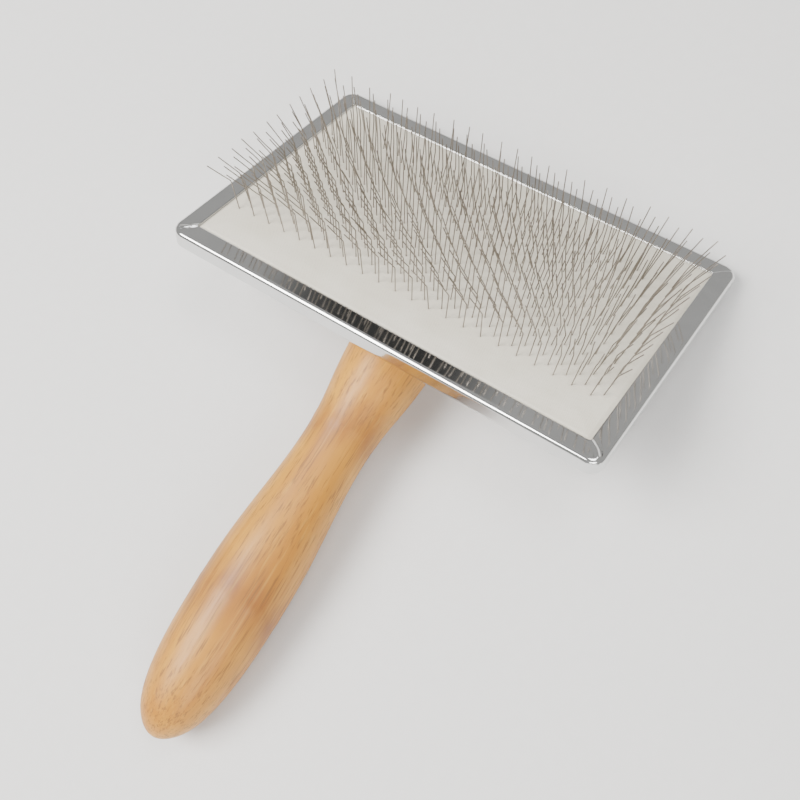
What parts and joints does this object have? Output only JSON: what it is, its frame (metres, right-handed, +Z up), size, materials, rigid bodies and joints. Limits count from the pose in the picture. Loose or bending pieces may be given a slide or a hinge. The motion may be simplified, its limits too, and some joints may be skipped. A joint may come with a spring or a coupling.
{
  "type": "slicker brush",
  "caption": "Pet slicker brush: a rectangular sheet-steel head with a cream pad of fine bent wire pins, on a turned bamboo handle set at a slant.",
  "frame": {"origin": "on the resting surface, under the middle of the brush's bounding box, with the brush lying on its back", "axes": "+Z up from the resting surface, +Y from the handle's end towards the head, +X along the head's long side"},
  "size_m": [0.127, 0.1802, 0.0492],
  "materials": {
    "steel_tray": "bright rolled stainless sheet",
    "plywood": "raw thin plywood",
    "felt": "soft felt",
    "cloth": "dense woven cotton",
    "pad_face": "cream rubber-faced cloth",
    "bamboo": "sanded and lightly lacquered bamboo",
    "screw_steel": "zinc plated",
    "pin_wire": "drawn steel wire"
  },
  "bodies": {
    "root": {"head_tray": "steel_tray", "core_board": "plywood", "pad_cushion": "felt", "foundation_cloth": "cloth", "pad_face": "pad_face", "handle": "bamboo", "handle_screws": "screw_steel", "pin_row_01": "pin_wire", "pin_row_02": "pin_wire", "pin_row_03": "pin_wire", "pin_row_04": "pin_wire", "pin_row_05": "pin_wire", "pin_row_06": "pin_wire", "pin_row_07": "pin_wire", "pin_row_08": "pin_wire", "pin_row_09": "pin_wire", "pin_row_10": "pin_wire", "pin_row_11": "pin_wire", "pin_row_12": "pin_wire", "pin_row_13": "pin_wire", "pin_row_14": "pin_wire", "pin_row_15": "pin_wire", "pin_row_16": "pin_wire", "pin_row_17": "pin_wire", "pin_row_18": "pin_wire", "pin_row_19": "pin_wire", "pin_row_20": "pin_wire", "pin_row_21": "pin_wire", "pin_row_22": "pin_wire", "pin_row_23": "pin_wire"}
  },
  "joints": []
}
